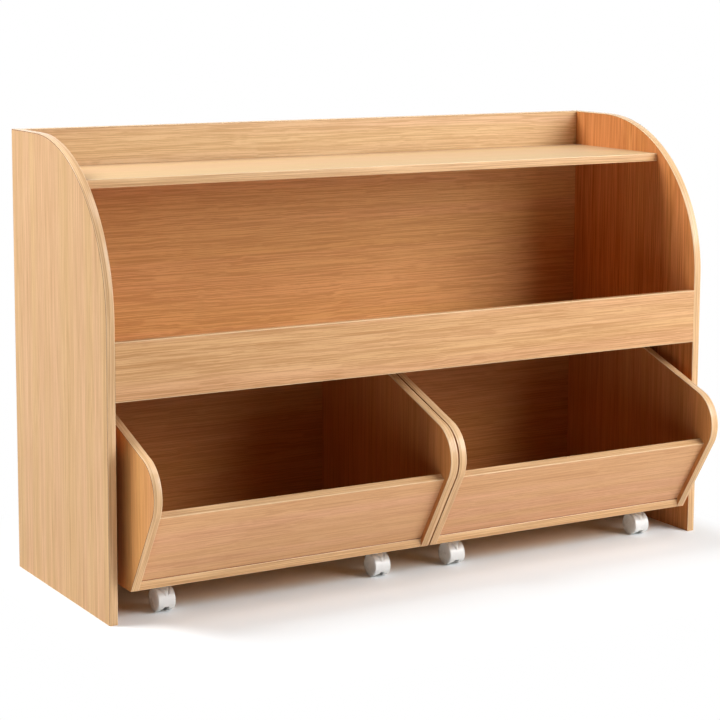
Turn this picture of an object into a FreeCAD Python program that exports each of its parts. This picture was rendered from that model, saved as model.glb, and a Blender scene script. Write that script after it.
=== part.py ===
import FreeCAD, Part
import os
import re
import Sketcher

# Toy storage organizer: a laminated board cabinet with an open tray on top, an open shelf
# behind a front rail, and two roll-out bins on twin-wheel casters.
# Frame: X across, Y towards the back, Z up; the origin is the bottom centre of its box.
# Formulas below are strings, because they are bound to the sheet's cells as expressions.

doc = FreeCAD.newDocument("ToyOrganizer")
sheet = doc.addObject("Spreadsheet::Sheet", "Sizes")

sizes = {
    # cabinet, outer sizes and board stock (mm, degrees)
    "cabinet_width": 1000,
    "cabinet_depth": 330,
    "cabinet_height": 645,
    "side_board": 12,
    "shelf_board": 12,
    "rail_board": 12,
    "back_board": 12,
    "side_arc_radius": 238,
    "back_inset": 3,
    "back_bottom": 40,
    "rail_bottom": 303,
    "rail_height": 81,
    "shelf_setback": 100,
    "tray_depth": 55,
    # edge bands are glued strips of laminate
    "band_thickness": 1,
    "glue_line": 0.15,
    # cam fittings that hold the cabinet's boards
    "cam_radius": 6,
    "cam_depth": 9,
    "cam_distance": 24,
    "cam_axis_depth": 6,
    "cam_bolt_radius": 3,
    "cam_bolt_neck": 2.2,
    "cam_bolt_embed": 9,
    "cam_bolt_head": 5,
    "cam_head_space": 1,
    "cam_slot_reach": 4.2,
    "cam_slot_half_width": 0.72,
    "cam_slot_depth": 1.5,
    "fit_clearance": 0.1,
    "fit_inset": 45,
    "rail_fit_height": 52,
    "back_fit_low": 100,
    "back_fit_high": 440,
    # roll-out bins
    "bin_side_gap": 16,
    "bin_centre_gap": 2,
    "bin_rear_gap": 18,
    "bin_bottom": 45,
    "bin_top": 292,
    "bin_side_board": 12,
    "bin_board": 12,
    "nose_reach": 84,
    "nose_height": 186,
    "nose_radius": 52,
    "rake_angle": 31.5,
    "lip_angle": 19.5,
    "front_setback": 8,
    "front_length": 118,
    "back_board_drop": 14,
    # wooden dowels that hold the bins' boards
    "dowel_radius": 3,
    "dowel_in_side": 8,
    "dowel_in_board": 16,
    "dowel_inset": 40,
    "dowel_front_low": 30,
    "dowel_front_pitch": 60,
    # casters
    "caster_inset": 63.5,
    "caster_front": 51,
    "caster_rear": 46,
    "plate_size": 38,
    "plate_thickness": 2,
    "plate_hole_pitch": 28,
    "plate_hole_radius": 1.9,
    "kingpin_radius": 4,
    "kingpin_length": 16,
    "kingpin_clearance": 0.08,
    "kingpin_end_gap": 1,
    "neck_radius": 7.5,
    "neck_gap": 0.25,
    "trail": 12,
    "wheel_radius": 16,
    "wheel_width": 8,
    "wheel_dome": 1.4,
    "wheel_flat_radius": 7.2,
    "web_width": 11,
    "web_rear_inset": 0.5,
    "web_foot_reach": 9.96,
    "wheel_side_gap": 0.3,
    "fender_thickness": 1.6,
    "fender_gap": 0.6,
    "fender_end_height": 5,
    "axle_radius": 2,
    "axle_clearance": 0.05,
    "axle_cap": 1.2,
    # plate screws
    "screw_radius": 1.6,
    "screw_clearance": 0.03,
    "screw_length": 11,
    "screw_head_radius": 3,
    "screw_head_height": 1.6,
}
for row, (alias, size) in enumerate(sizes.items(), start=1):
    sheet.set(f"A{row}", alias)
    sheet.set(f"B{row}", str(size))
    sheet.setAlias(f"B{row}", alias)
doc.recompute()


def cells(formula):
    """Puts the sheet's name before each size that a formula uses."""
    return re.sub(r"[a-z_]+", lambda word: "Sizes." * (word[0] in sizes) + word[0], formula)


def value(formula):
    return float(sheet.evalExpression(cells(formula)))


def bind(item, path, formula):
    item.setExpression(path, cells(formula))


def place(item, across, back, up):
    for axis, formula in zip("xyz", (across, back, up)):
        bind(item, f"Placement.Base.{axis}", formula)


def newBody(label):
    body = doc.addObject("PartDesign::Body", label)
    body.Label = label
    return body


# ---- sketches ----

def newSketch(body, name, role, height=None):
    """A sketch on one of its body's origin planes, or parallel to it at a height."""
    sketch = body.newObject("Sketcher::SketchObject", f"{body.Name}_{name}")
    plane = next(item for item in body.Origin.OriginFeatures if item.Role == role)
    sketch.AttachmentSupport = [(plane, "")]
    sketch.MapMode = "FlatFace"
    if height is not None:
        bind(sketch, "AttachmentOffset.Base.z", height)
    return sketch


def constrain(sketch, kind, references, formula):
    constraint = Sketcher.Constraint(kind, *references, value(formula))
    bind(sketch, f"Constraints[{sketch.addConstraint(constraint)}]", formula)


def pinPoint(sketch, geometry, position, across, up):
    constrain(sketch, "DistanceX", (-1, 1, geometry, position), across)
    constrain(sketch, "DistanceY", (-1, 1, geometry, position), up)


def addContour(sketch, corners, arcs=()):
    """A closed contour, counter-clockwise. arcs maps a corner's index to (centre across,
    centre up, radius) where the edge that leaves it is an arc."""
    arcs = dict(arcs)
    points = [FreeCAD.Vector(value(across), value(up), 0) for across, up in corners]
    first = sketch.GeometryCount
    for index, start in enumerate(points):
        end = points[(index + 1) % len(points)]
        if index in arcs:
            centre = FreeCAD.Vector(value(arcs[index][0]), value(arcs[index][1]), 0)
            middle = (start + end) * 0.5 - centre
            middle.normalize()
            radius = value(arcs[index][2])
            sketch.addGeometry(Part.Arc(start, centre + middle * radius, end))
            constrain(sketch, "Radius", (first + index,), arcs[index][2])
        else:
            sketch.addGeometry(Part.LineSegment(start, end))
    for index, (across, up) in enumerate(corners):
        follower = first + (index + 1) % len(corners)
        sketch.addConstraint(Sketcher.Constraint("Coincident", first + index, 2, follower, 1))
        pinPoint(sketch, first + index, 1, across, up)


def addCircle(sketch, across, up, radius):
    centre = FreeCAD.Vector(value(across), value(up), 0)
    index = sketch.addGeometry(Part.Circle(centre, FreeCAD.Vector(0, 0, 1), value(radius)))
    pinPoint(sketch, index, 3, across, up)
    constrain(sketch, "Radius", (index,), radius)


def addRectangle(sketch, left, low, right, high):
    addContour(sketch, [(left, low), (right, low), (right, high), (left, high)])


# ---- features ----

def pad(body, sketch, length, symmetric=False):
    feature = body.newObject("PartDesign::Pad", f"{sketch.Name}_pad")
    feature.Profile = sketch
    if symmetric:
        feature.SideType = "Symmetric"
    bind(feature, "Length", length)
    sketch.Visibility = False
    return feature


def pocket(body, sketch, length, forward=False, symmetric=False):
    """Cuts against the sketch's normal, or along it if forward, and proves that it cuts."""
    doc.recompute()
    before = body.Shape.Volume
    feature = body.newObject("PartDesign::Pocket", f"{sketch.Name}_pocket")
    feature.Profile = sketch
    feature.Reversed = forward
    if symmetric:
        feature.SideType = "Symmetric"
    bind(feature, "Length", length)
    sketch.Visibility = False
    doc.recompute()
    if body.Shape.Volume > before - 1e-6:
        raise RuntimeError(f"{feature.Name} cuts nothing")
    return feature


def drill(body, name, role, height, centres, radius, depth, forward=False):
    """Round holes with one radius and depth, from a plane at a height."""
    sketch = newSketch(body, name, role, height)
    for across, up in centres:
        addCircle(sketch, across, up, radius)
    return pocket(body, sketch, depth, forward)


def turn(body, name, corners):
    """A solid of revolution about X. corners are (along, radius), counter-clockwise."""
    sketch = newSketch(body, name, "XY_Plane")
    addContour(sketch, corners)
    feature = body.newObject("PartDesign::Revolution", f"{sketch.Name}_turn")
    feature.Profile = sketch
    feature.ReferenceAxis = (sketch, ["H_Axis"])
    feature.Angle = 360
    sketch.Visibility = False
    return feature


def block(label, width, depth, height, across, back, up):
    """A square-cut board: width along X, depth along Y, height along Z."""
    body = newBody(label)
    sketch = newSketch(body, "outline", "XY_Plane")
    addRectangle(sketch, "0", "0", width, depth)
    pad(body, sketch, height)
    place(body, across, back, up)
    return body


def group(label, pieces):
    """Separate solids that share one node."""
    compound = doc.addObject("Part::Compound", label)
    compound.Label = label
    compound.Links = pieces
    return compound


def copies(label, master, places):
    """One node of equal pieces; places are (across, back, up, rotation)."""
    links = []
    for number, (across, back, up, rotation) in enumerate(places, start=1):
        link = doc.addObject("App::Link", f"{label}_{number}")
        link.LinkedObject = master
        link.Placement = FreeCAD.Placement(FreeCAD.Vector(), rotation)
        place(link, across, back, up)
        links.append(link)
    return group(label, links)


facingRight = FreeCAD.Rotation()
facingLeft = FreeCAD.Rotation(FreeCAD.Vector(0, 0, 1), 180)
tippedForward = FreeCAD.Rotation(FreeCAD.Vector(1, 0, 0), 90)

nodes = []

# ---- places in the frame ----
# The box runs from the bins' noses to the cabinet's rear, so the front plane is off centre.
frontPlane = "(nose_reach - cabinet_depth) / 2"
leftInner = "(side_board - cabinet_width / 2)"
innerWidth = "(cabinet_width - 2 * side_board)"
edge = "(band_thickness + glue_line)"
backFront = "(cabinet_depth - back_inset - back_board)"
shelfUnder = "(cabinet_height - tray_depth - shelf_board)"


def behindFront(formula):
    return f"{frontPlane} + {formula}"


# ---- cabinet: side panels and their bands ----

def sideOutline(sketch, inset, overrun):
    """Side profile in (back, up), inset on its banded edges: front, arc and top."""
    top = f"cabinet_height - {inset}"
    arcCentre = "cabinet_height - side_arc_radius"
    corners = [(inset, f"0 - {overrun}"),
               (f"cabinet_depth + {overrun}", f"0 - {overrun}"),
               (f"cabinet_depth + {overrun}", top),
               ("side_arc_radius", top),
               (inset, arcCentre)]
    addContour(sketch, corners, {3: ("side_arc_radius", arcCentre, f"side_arc_radius - {inset}")})


def bandStrip(label, outline, thickness, across, back, up):
    """The strip between a profile and the same profile set in by the band's thickness."""
    body = newBody(label)
    outer = newSketch(body, "outer", "YZ_Plane")
    outline(outer, "0", "0")
    pad(body, outer, thickness)
    inner = newSketch(body, "inner", "YZ_Plane", thickness)
    outline(inner, "band_thickness", "band_thickness")
    pocket(body, inner, thickness)
    place(body, across, back, up)
    return body


# Cam bolts of one side, as (behind the front plane, height).
shelfFits = [("shelf_setback + fit_inset", f"{shelfUnder} + cam_axis_depth"),
             (f"{backFront} - fit_inset", f"{shelfUnder} + cam_axis_depth")]
middleFits = [("rail_board + fit_inset", "rail_bottom + cam_axis_depth"),
              (f"{backFront} - fit_inset", "rail_bottom + cam_axis_depth")]
railFits = [("rail_board - cam_axis_depth", "rail_bottom + rail_fit_height")]
backFits = [(f"{backFront} + back_board - cam_axis_depth", "back_fit_low"),
            (f"{backFront} + back_board - cam_axis_depth", "back_fit_high")]
sideFits = shelfFits + middleFits + railFits + backFits

cabinetSides = [("left_side", "0 - cabinet_width / 2", "side_board", False),
                ("right_side", "cabinet_width / 2 - side_board", "0", True)]
sideBands = []
for name, across, innerFace, drillsRight in cabinetSides:
    panel = newBody(f"{name}_panel")
    profile = newSketch(panel, "profile", "YZ_Plane")
    sideOutline(profile, edge, "0")
    pad(panel, profile, "side_board")
    drill(panel, "bolt_holes", "YZ_Plane", innerFace, sideFits,
          "cam_bolt_radius + fit_clearance", "cam_bolt_embed", drillsRight)
    place(panel, across, frontPlane, "0")
    nodes.append(panel)
    sideBands.append(bandStrip(f"{name}_band", sideOutline, "side_board", across, frontPlane, "0"))
nodes.append(group("side_edge_bands", sideBands))


# ---- cabinet: boards between the side panels ----

def boreEnds(board, centres, radius, depth):
    """The same holes in both ends of a board; centres are (back, up) in the board."""
    drill(board, "left_end_holes", "YZ_Plane", "0", centres, radius, depth, True)
    drill(board, "right_end_holes", "YZ_Plane", innerWidth, centres, radius, depth)


def cabinetBoard(label, depth, height, back, up, fits, camsFromRear):
    board = block(label, innerWidth, depth, height, leftInner, behindFront(back), up)
    local = [(f"{y} - ({back})", f"{z} - ({up})") for y, z in fits]
    boreEnds(board, local, "cam_bolt_radius + fit_clearance", "cam_distance")
    ends = ["cam_distance", f"{innerWidth} - cam_distance"]
    if camsFromRear:
        centres = [(x, z) for x in ends for y, z in local]
        drill(board, "cam_pockets", "XZ_Plane", f"0 - {depth}", centres,
              "cam_radius + fit_clearance", "cam_depth", True)
    else:
        centres = [(x, y) for x in ends for y, z in local]
        drill(board, "cam_pockets", "XY_Plane", "0", centres,
              "cam_radius + fit_clearance", "cam_depth", True)
    nodes.append(board)
    return board


cabinetBoard("top_shelf", f"{backFront} - shelf_setback - {edge}", "shelf_board",
             f"shelf_setback + {edge}", shelfUnder, shelfFits, False)
cabinetBoard("middle_shelf", f"{backFront} - rail_board", "shelf_board",
             "rail_board", "rail_bottom", middleFits, False)
cabinetBoard("front_rail", "rail_board", f"rail_height - 2 * {edge}",
             "0", f"rail_bottom + {edge}", railFits, True)
cabinetBoard("back_panel", "back_board", f"cabinet_height - back_bottom - {edge}",
             backFront, "back_bottom", backFits, True)

boardBands = [
    block("shelf_front_band", innerWidth, "band_thickness", "shelf_board",
          leftInner, behindFront("shelf_setback"), shelfUnder),
    block("rail_top_band", innerWidth, "rail_board", "band_thickness",
          leftInner, frontPlane, "rail_bottom + rail_height - band_thickness"),
    block("rail_bottom_band", innerWidth, "rail_board", "band_thickness",
          leftInner, frontPlane, "rail_bottom"),
    block("back_top_band", innerWidth, "back_board", "band_thickness",
          leftInner, behindFront(backFront), "cabinet_height - band_thickness"),
]
nodes.append(group("board_edge_bands", boardBands))

# ---- cabinet: cam bolts and cam locks ----
# The bolt lies along X from the side panel's inner face: thread, neck and head.
boltEnd = "(cam_distance - cam_head_space)"
camBolt = newBody("cam_bolt_master")
turn(camBolt, "profile", [("0 - cam_bolt_embed", "0"), (boltEnd, "0"),
                          (boltEnd, "cam_bolt_radius"),
                          (f"{boltEnd} - cam_bolt_head", "cam_bolt_radius"),
                          (f"{boltEnd} - cam_bolt_head", "cam_bolt_neck"),
                          ("0", "cam_bolt_neck"), ("0", "cam_bolt_radius"),
                          ("0 - cam_bolt_embed", "cam_bolt_radius")])

# The lock stands along Z in its pocket, with a mouth towards the bolt and a driver slot.
camLock = newBody("cam_lock_master")
disc = newSketch(camLock, "disc", "XY_Plane")
addCircle(disc, "0", "0", "cam_radius")
pad(camLock, disc, "cam_depth")
drill(camLock, "bolt_mouth", "YZ_Plane", "0", [("0", "cam_axis_depth")],
      "cam_bolt_radius + fit_clearance", "2 * cam_radius")
slot = newSketch(camLock, "driver_slot", "XY_Plane", "0")
addRectangle(slot, "0 - cam_slot_reach", "0 - cam_slot_half_width",
             "cam_slot_reach", "cam_slot_half_width")
pocket(camLock, slot, "cam_slot_depth", True)

boltPlaces = []
lockPlaces = []
for side, face, turned in (("left", leftInner, facingRight),
                           ("right", f"0 - {leftInner}", facingLeft)):
    inward = "+" if side == "left" else "-"
    centre = f"{face} {inward} cam_distance"
    boltPlaces += [(face, behindFront(y), z, turned) for y, z in sideFits]
    lockPlaces += [(centre, behindFront(y), shelfUnder, turned) for y, z in shelfFits]
    lockPlaces += [(centre, behindFront(y), "rail_bottom", turned) for y, z in middleFits]
    lockPlaces += [(centre, behindFront("rail_board"), z, tippedForward.multiply(turned))
                   for y, z in railFits]
    lockPlaces += [(centre, behindFront(f"{backFront} + back_board"), z,
                    tippedForward.multiply(turned)) for y, z in backFits]
nodes.append(copies("cam_bolts", camBolt, boltPlaces))
nodes.append(copies("cam_locks", camLock, lockPlaces))

# ---- bins ----
# A bin's own frame starts at its left outer face, at the nose tip and at its underside.
binWidth = "(cabinet_width / 2 - side_board - bin_side_gap - bin_centre_gap / 2)"
binInner = f"({binWidth} - 2 * bin_side_board)"
binDepth = f"(nose_reach + {backFront} - bin_rear_gap)"
binHeight = "(bin_top - bin_bottom)"
noseUp = "(nose_height - bin_bottom)"
# Lower front corner of a side panel, where its raked edge meets the underside.
cornerBack = (f"(nose_radius - nose_radius / cos(rake_angle)"
              f" + {noseUp} * tan(rake_angle))")


def binOutline(sketch, inset, overrun):
    """Bin side in (back, up): raked front edge, round nose, rising lip and flat top."""
    radius = f"(nose_radius - {inset})"
    top = f"({binHeight} - {inset})"
    lipBack = f"nose_radius - {radius} * sin(lip_angle)"
    lipUp = f"{noseUp} + {radius} * cos(lip_angle)"
    rakeBack = f"nose_radius - {radius} * cos(rake_angle)"
    rakeUp = f"{noseUp} - {radius} * sin(rake_angle)"
    corners = [(f"{rakeBack} + ({rakeUp} + {overrun}) * tan(rake_angle)", f"0 - {overrun}"),
               (f"{binDepth} + {overrun}", f"0 - {overrun}"),
               (f"{binDepth} + {overrun}", top),
               (f"{lipBack} + ({top} - ({lipUp})) / tan(lip_angle)", top),
               (lipBack, lipUp),
               (rakeBack, rakeUp)]
    addContour(sketch, corners, {4: ("nose_radius", noseUp, radius)})


# The front board leans with the raked edge, set back from it, and stands on the bottom board.
frontBack = f"({cornerBack} - bin_board * tan(rake_angle) + front_setback / cos(rake_angle))"


def alongFront(along, inward):
    """A point (back, up) on the front board, along its face from its foot and into it."""
    return (f"{frontBack} - ({along}) * sin(rake_angle) + ({inward}) * cos(rake_angle)",
            f"bin_board + ({along}) * cos(rake_angle) + ({inward}) * sin(rake_angle)")


middleOfBoard = "bin_board / 2"
frontDowels = [alongFront("dowel_front_low", middleOfBoard),
               alongFront("dowel_front_low + dowel_front_pitch", middleOfBoard)]
bottomDowels = [(f"{cornerBack} + dowel_inset", middleOfBoard),
                (f"({cornerBack} + {binDepth}) / 2", middleOfBoard),
                (f"{binDepth} - dowel_inset", middleOfBoard)]
backDowels = [(f"{binDepth} - bin_board / 2", "bin_board + dowel_inset"),
              (f"{binDepth} - bin_board / 2", f"{binHeight} - back_board_drop - dowel_inset")]
binDowels = bottomDowels + frontDowels + backDowels

dowel = newBody("dowel_master")
turn(dowel, "profile", [("0 - dowel_in_side", "0"), ("dowel_in_board", "0"),
                        ("dowel_in_board", "dowel_radius"), ("0 - dowel_in_side", "dowel_radius")])

casterStations = [("front_left", "caster_inset", f"{cornerBack} + caster_front"),
                  ("front_right", f"{binWidth} - caster_inset", f"{cornerBack} + caster_front"),
                  ("rear_left", "caster_inset", f"{binDepth} - caster_rear"),
                  ("rear_right", f"{binWidth} - caster_inset", f"{binDepth} - caster_rear")]
plateCorners = [(f"{sx} plate_hole_pitch / 2", f"{sy} plate_hole_pitch / 2")
                for sx in ("-", "+") for sy in ("-", "+")]

# Plate with its kingpin, seen from the pivot point on its upper face.
plate = newBody("caster_plate_master")
plateSketch = newSketch(plate, "plate", "XY_Plane", "0 - plate_thickness")
addRectangle(plateSketch, "0 - plate_size / 2", "0 - plate_size / 2",
             "plate_size / 2", "plate_size / 2")
pad(plate, plateSketch, "plate_thickness")
pinSketch = newSketch(plate, "kingpin", "XY_Plane", "0 - plate_thickness - kingpin_length")
addCircle(pinSketch, "0", "0", "kingpin_radius")
pad(plate, pinSketch, "kingpin_length + plate_thickness / 2")
drill(plate, "screw_holes", "XY_Plane", "0",
      [(f"0 {x}", f"0 {y}") for x, y in plateCorners], "plate_hole_radius", "plate_thickness")

# Plate screw, head down, from the plate's lower face.
screw = newBody("plate_screw_master")
turn(screw, "profile", [("0 - screw_head_height", "0"), ("screw_length", "0"),
                        ("screw_length - screw_radius", "screw_radius"), ("0", "screw_radius"),
                        ("0", "screw_head_radius"), ("0 - screw_head_height", "screw_head_radius")])
headDown = FreeCAD.Rotation(FreeCAD.Vector(0, 1, 0), -90)

# Heights inside a caster, from the floor.
neckTop = "(bin_bottom - plate_thickness - neck_gap)"
fenderInner = "(wheel_radius + fender_gap)"
fenderOuter = "(wheel_radius + fender_gap + fender_thickness)"
hoodWidth = "(web_width + 2 * wheel_side_gap + 2 * wheel_width)"


def buildHood(label, across, back):
    """Swivelling hood: web between the wheels, fender over their fronts, and neck.
    Its own frame is on the kingpin's axis at the floor; the wheels trail towards the front."""
    body = newBody(label)
    fender = newSketch(body, "fender", "YZ_Plane")
    addCircle(fender, "0 - trail", "wheel_radius", fenderOuter)
    addCircle(fender, "0 - trail", "wheel_radius", fenderInner)
    pad(body, fender, hoodWidth, True)
    # the fender is open at the rear and near the floor
    opening = newSketch(body, "fender_opening", "YZ_Plane")
    addContour(opening, [("0 - trail - 2 * wheel_radius", "0 - fender_thickness - fender_gap"),
                         ("2 * wheel_radius", "0 - fender_thickness - fender_gap"),
                         ("2 * wheel_radius", f"wheel_radius + {fenderOuter}"),
                         ("0 - trail / 2", f"wheel_radius + {fenderOuter}"),
                         ("0 - trail", "fender_end_height"),
                         ("0 - trail - 2 * wheel_radius", "fender_end_height")])
    pocket(body, opening, hoodWidth, False, True)
    web = newSketch(body, "web", "YZ_Plane")
    addContour(web, [("0 - trail", "fender_end_height"),
                     ("neck_radius - web_rear_inset", "wheel_radius - axle_radius"),
                     ("neck_radius - web_rear_inset", f"{neckTop} - neck_radius"),
                     ("0 - trail", f"wheel_radius + {fenderInner} + fender_thickness / 2"),
                     (f"0 - trail - {fenderInner} - fender_thickness / 2", "wheel_radius"),
                     ("0 - trail - web_foot_reach", "fender_end_height")],
               {3: ("0 - trail", "wheel_radius", f"{fenderInner} + fender_thickness / 2")})
    pad(body, web, "web_width", True)
    neckFoot = f"(wheel_radius + {fenderInner})"
    neck = newSketch(body, "neck", "XY_Plane", neckFoot)
    addCircle(neck, "0", "0", "neck_radius")
    pad(body, neck, f"{neckTop} - {neckFoot}")
    drill(body, "kingpin_bore", "XY_Plane", neckTop, [("0", "0")],
          "kingpin_radius + kingpin_clearance", "kingpin_length - neck_gap + kingpin_end_gap")
    axleBore = newSketch(body, "axle_bore", "YZ_Plane")
    addCircle(axleBore, "0 - trail", "wheel_radius", "axle_radius + axle_clearance")
    pocket(body, axleBore, "2 * web_width", False, True)
    place(body, across, back, "0")
    return body


def buildAxle(label, across, back):
    """Steel axle that passes the web and ends inside the wheels' hubs."""
    body = newBody(label)
    reach = f"({hoodWidth} / 2 - wheel_dome - axle_cap)"
    turn(body, "profile", [(f"0 - {reach}", "0"), (reach, "0"),
                           (reach, "axle_radius"), (f"0 - {reach}", "axle_radius")])
    place(body, across, f"{back} - trail", "wheel_radius")
    return body


def buildWheel(label, across, back, outward):
    """Wheel with a domed outer face and a blind hub bore; outward is + or - along X."""
    body = newBody(label)
    inner = "(web_width / 2 + wheel_side_gap)"
    shoulder = f"({inner} + wheel_width - wheel_dome)"
    boreEnd = f"({inner} + wheel_width - wheel_dome - axle_cap + fit_clearance)"
    profile = [(inner, "axle_radius + axle_clearance"),
               (boreEnd, "axle_radius + axle_clearance"),
               (boreEnd, "0"),
               (f"{inner} + wheel_width", "0"),
               (f"{inner} + wheel_width", "wheel_flat_radius"),
               (shoulder, "wheel_radius - wheel_dome / 2"),
               (f"{shoulder} - wheel_dome", "wheel_radius"),
               (f"{inner} + wheel_dome / 2", "wheel_radius"),
               (inner, "wheel_radius - wheel_dome / 2")]
    if outward == "-":
        profile = [(f"0 - ({along})", radius) for along, radius in reversed(profile)]
    turn(body, "profile", [profile[-1]] + profile[:-1])
    place(body, across, f"{back} - trail", "wheel_radius")
    return body


def buildBin(name, leftFace):
    front = behindFront("0 - nose_reach")

    def inBin(across, back, up):
        return (f"{leftFace} + {across}", f"{front} + {back}", f"bin_bottom + {up}")

    # side panels and their bands
    bands = []
    for side, across, innerFace, drillsRight in (
            ("left", "0", "bin_side_board", False),
            ("right", f"{binWidth} - bin_side_board", "0", True)):
        panel = newBody(f"{name}_{side}_panel")
        profile = newSketch(panel, "profile", "YZ_Plane")
        binOutline(profile, edge, "0")
        pad(panel, profile, "bin_side_board")
        drill(panel, "dowel_holes", "YZ_Plane", innerFace, binDowels,
              "dowel_radius + fit_clearance", "dowel_in_side + fit_clearance", drillsRight)
        place(panel, *inBin(across, "0", "0"))
        nodes.append(panel)
        bands.append(bandStrip(f"{name}_{side}_band", binOutline, "bin_side_board",
                               *inBin(across, "0", "0")))

    # bottom board, with pilot holes for the caster plates' screws
    bottomBack = f"({cornerBack} + {edge})"
    bottom = block(f"{name}_bottom_board", binInner, f"{binDepth} - {bottomBack}", "bin_board",
                   *inBin("bin_side_board", bottomBack, "0"))
    pilots = [(f"{x} {px} - bin_side_board", f"{y} {py} - {bottomBack}")
              for station, x, y in casterStations for px, py in plateCorners]
    drill(bottom, "pilot_holes", "XY_Plane", "0", pilots, "screw_radius + screw_clearance",
          "screw_length - plate_thickness + fit_clearance", True)
    boreBinBoard(bottom, bottomDowels, bottomBack, "0")
    nodes.append(bottom)

    # back board, standing on the bottom board
    backBack = f"({binDepth} - bin_board)"
    rear = block(f"{name}_back_board", binInner, "bin_board",
                 f"{binHeight} - back_board_drop - bin_board - {edge}",
                 *inBin("bin_side_board", backBack, "bin_board"))
    boreBinBoard(rear, backDowels, backBack, "bin_board")
    nodes.append(rear)

    # front board, leaning forward, with its foot cut level
    frontBoard = newBody(f"{name}_front_board")
    section = newSketch(frontBoard, "section", "YZ_Plane")
    boardEnd = f"front_length - {edge}"
    addContour(section, [alongFront("0", "0"),
                         (f"{frontBack} + bin_board / cos(rake_angle)", "bin_board"),
                         alongFront(boardEnd, "bin_board"),
                         alongFront(boardEnd, "0")])
    pad(frontBoard, section, binInner)
    boreBinBoard(frontBoard, frontDowels, "0", "0")
    place(frontBoard, *inBin("bin_side_board", "0", "0"))
    nodes.append(frontBoard)

    frontBand = newBody(f"{name}_front_band")
    bandSection = newSketch(frontBand, "section", "YZ_Plane")
    bandStart = "front_length - band_thickness"
    addContour(bandSection, [alongFront(bandStart, "0"), alongFront(bandStart, "bin_board"),
                             alongFront("front_length", "bin_board"),
                             alongFront("front_length", "0")])
    pad(frontBand, bandSection, binInner)
    place(frontBand, *inBin("bin_side_board", "0", "0"))
    bands.append(frontBand)
    bands.append(block(f"{name}_bottom_band", binInner, "band_thickness", "bin_board",
                       *inBin("bin_side_board", cornerBack, "0")))
    bands.append(block(f"{name}_back_band", binInner, "bin_board", "band_thickness",
                       *inBin("bin_side_board", backBack,
                              f"{binHeight} - back_board_drop - band_thickness")))
    nodes.append(group(f"{name}_edge_bands", bands))

    # dowels in both ends of the three boards
    dowelPlaces = [inBin("bin_side_board", back, up) + (facingRight,) for back, up in binDowels]
    dowelPlaces += [inBin(f"{binWidth} - bin_side_board", back, up) + (facingLeft,)
                    for back, up in binDowels]
    nodes.append(copies(f"{name}_dowels", dowel, dowelPlaces))

    # casters
    nodes.append(copies(f"{name}_caster_plates", plate,
                        [inBin(x, y, "0") + (facingRight,) for station, x, y in casterStations]))
    screwPlaces = [inBin(f"{x} {px}", f"{y} {py}", "0 - plate_thickness") + (headDown,)
                   for station, x, y in casterStations for px, py in plateCorners]
    nodes.append(copies(f"{name}_plate_screws", screw, screwPlaces))
    for station, x, y in casterStations:
        across, back, up = inBin(x, y, "0")
        caster = f"{name}_{station}"
        nodes.append(buildHood(f"{caster}_hood", across, back))
        nodes.append(buildAxle(f"{caster}_axle", across, back))
        nodes.append(buildWheel(f"{caster}_wheel_left", across, back, "-"))
        nodes.append(buildWheel(f"{caster}_wheel_right", across, back, "+"))


def boreBinBoard(board, dowels, back, up):
    """Dowel holes in both ends of a bin board; dowels are in the bin's frame."""
    centres = [(f"{y} - ({back})", f"{z} - ({up})") for y, z in dowels]
    depth = "dowel_in_board + fit_clearance"
    radius = "dowel_radius + fit_clearance"
    drill(board, "left_dowel_holes", "YZ_Plane", "0", centres, radius, depth, True)
    drill(board, "right_dowel_holes", "YZ_Plane", binInner, centres, radius, depth)


buildBin("left_bin", "bin_side_gap + side_board - cabinet_width / 2")
buildBin("right_bin", "bin_centre_gap / 2")

# ---- checks and files ----
doc.recompute()
for item in doc.Objects:
    if "Invalid" in item.State or "Error" in item.State:
        raise RuntimeError(f"{item.Label} is {item.State}")
for node in nodes:
    if node.Shape.isNull() or not node.Shape.isValid():
        raise RuntimeError(f"{node.Label} has no valid shape")

os.makedirs("parts", exist_ok=True)
for node in nodes:
    node.Shape.exportStep(f"parts/{node.Label}.step")
    box = node.Shape.BoundBox
    print(f"{node.Label}: {len(node.Shape.Solids)} solids,"
          f" X {box.XMin:.1f} {box.XMax:.1f} Y {box.YMin:.1f} {box.YMax:.1f}"
          f" Z {box.ZMin:.1f} {box.ZMax:.1f}")
print(len(nodes), "nodes")
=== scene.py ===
import math

import bmesh
import bpy
import numpy as np
from mathutils import Matrix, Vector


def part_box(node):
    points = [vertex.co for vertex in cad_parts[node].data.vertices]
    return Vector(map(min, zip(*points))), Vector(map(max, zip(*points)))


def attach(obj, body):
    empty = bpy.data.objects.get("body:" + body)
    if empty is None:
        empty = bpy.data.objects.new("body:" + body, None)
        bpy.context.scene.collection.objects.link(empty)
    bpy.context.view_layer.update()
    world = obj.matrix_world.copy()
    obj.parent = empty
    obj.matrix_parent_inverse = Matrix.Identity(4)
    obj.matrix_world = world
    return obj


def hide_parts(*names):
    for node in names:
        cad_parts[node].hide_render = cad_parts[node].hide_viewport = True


# Toy storage organizer: laminated boards with glued edge bands, two roll-out bins on casters.
# Lengths are metres; sizes written in millimetres are multiplied by mm.

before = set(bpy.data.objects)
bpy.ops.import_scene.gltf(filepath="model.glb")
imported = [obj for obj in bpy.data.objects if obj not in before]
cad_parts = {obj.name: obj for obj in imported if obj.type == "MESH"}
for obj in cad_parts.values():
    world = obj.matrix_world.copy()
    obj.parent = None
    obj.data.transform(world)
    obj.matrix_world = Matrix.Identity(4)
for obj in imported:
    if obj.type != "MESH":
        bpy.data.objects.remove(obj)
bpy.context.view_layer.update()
bpy.context.scene.view_settings.view_transform = "Standard"
mm = 0.001
print("frame loaded:", len(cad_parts), "nodes")


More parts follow.
